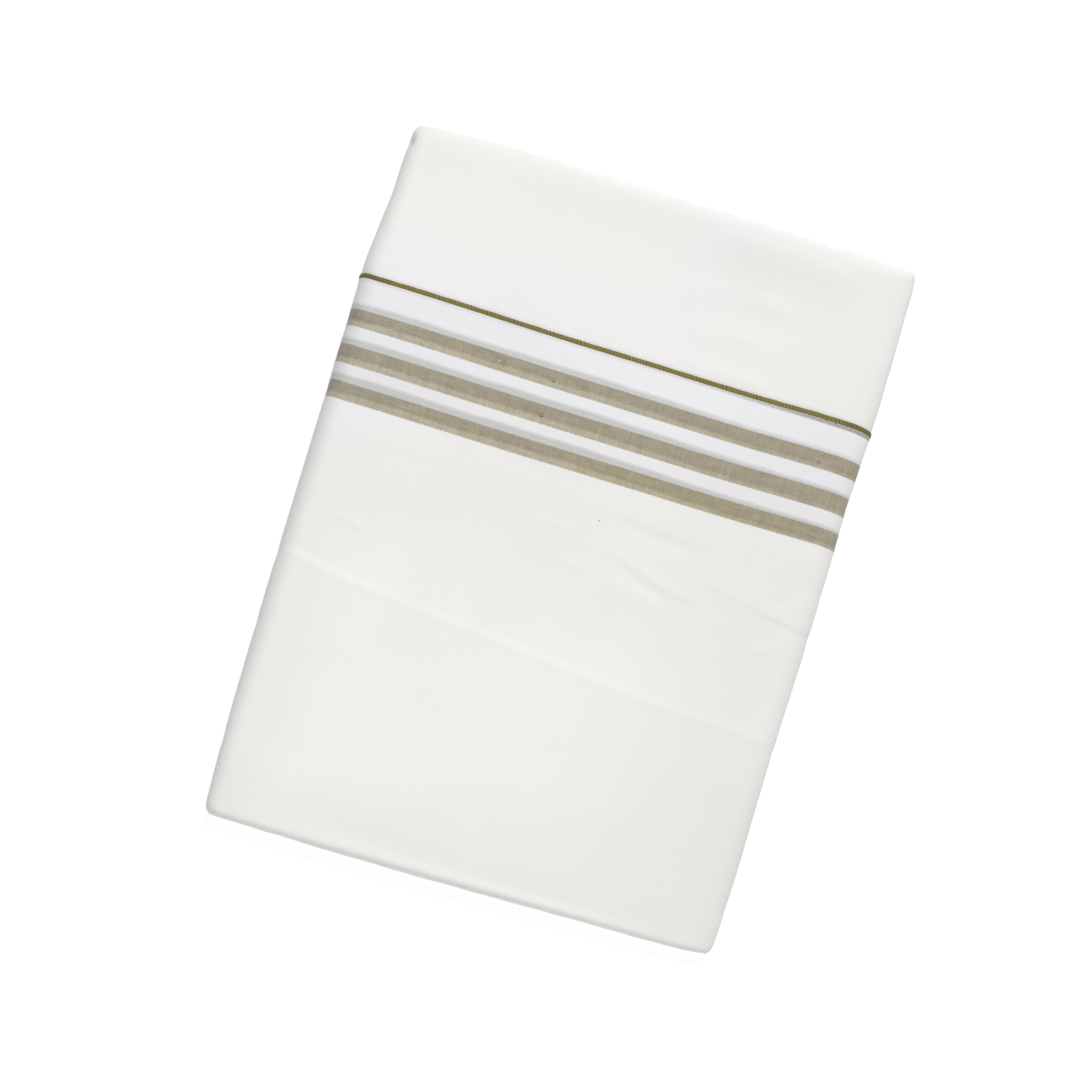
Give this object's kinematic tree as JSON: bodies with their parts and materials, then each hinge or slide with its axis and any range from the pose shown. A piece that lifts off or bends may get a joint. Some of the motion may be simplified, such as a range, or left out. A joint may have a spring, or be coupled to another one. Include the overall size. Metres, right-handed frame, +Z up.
{
  "type": "folded dhoti cloth",
  "caption": "White cotton dhoti folded flat into a packet, with khaki border stripes and a raised olive corded selvage across its upper face",
  "frame": {"origin": "centre of the packet's underside, on the surface it lies on", "axes": "+Z is up off the surface, +Y runs up the packet toward the end with the selvage line, +X runs along the border's stripes"},
  "size_m": [0.258, 0.3569, 0.0216],
  "materials": {
    "border_cotton": "fine plain-woven bleached cotton, slightly sheer, with three khaki stripes of slubbed yarn",
    "plain_cotton": "fine plain-woven cotton, soft creamy white, matt with a faint sheen",
    "selvage_thread": "twisted olive cotton cord woven into the selvage",
    "inner_cotton": "stacked folds of the same fine white cotton"
  },
  "bodies": {
    "root": {"border_stretch": "border_cotton", "plain_stretch": "plain_cotton", "selvage_cord": "selvage_thread", "folded_core": "inner_cotton"}
  },
  "joints": []
}
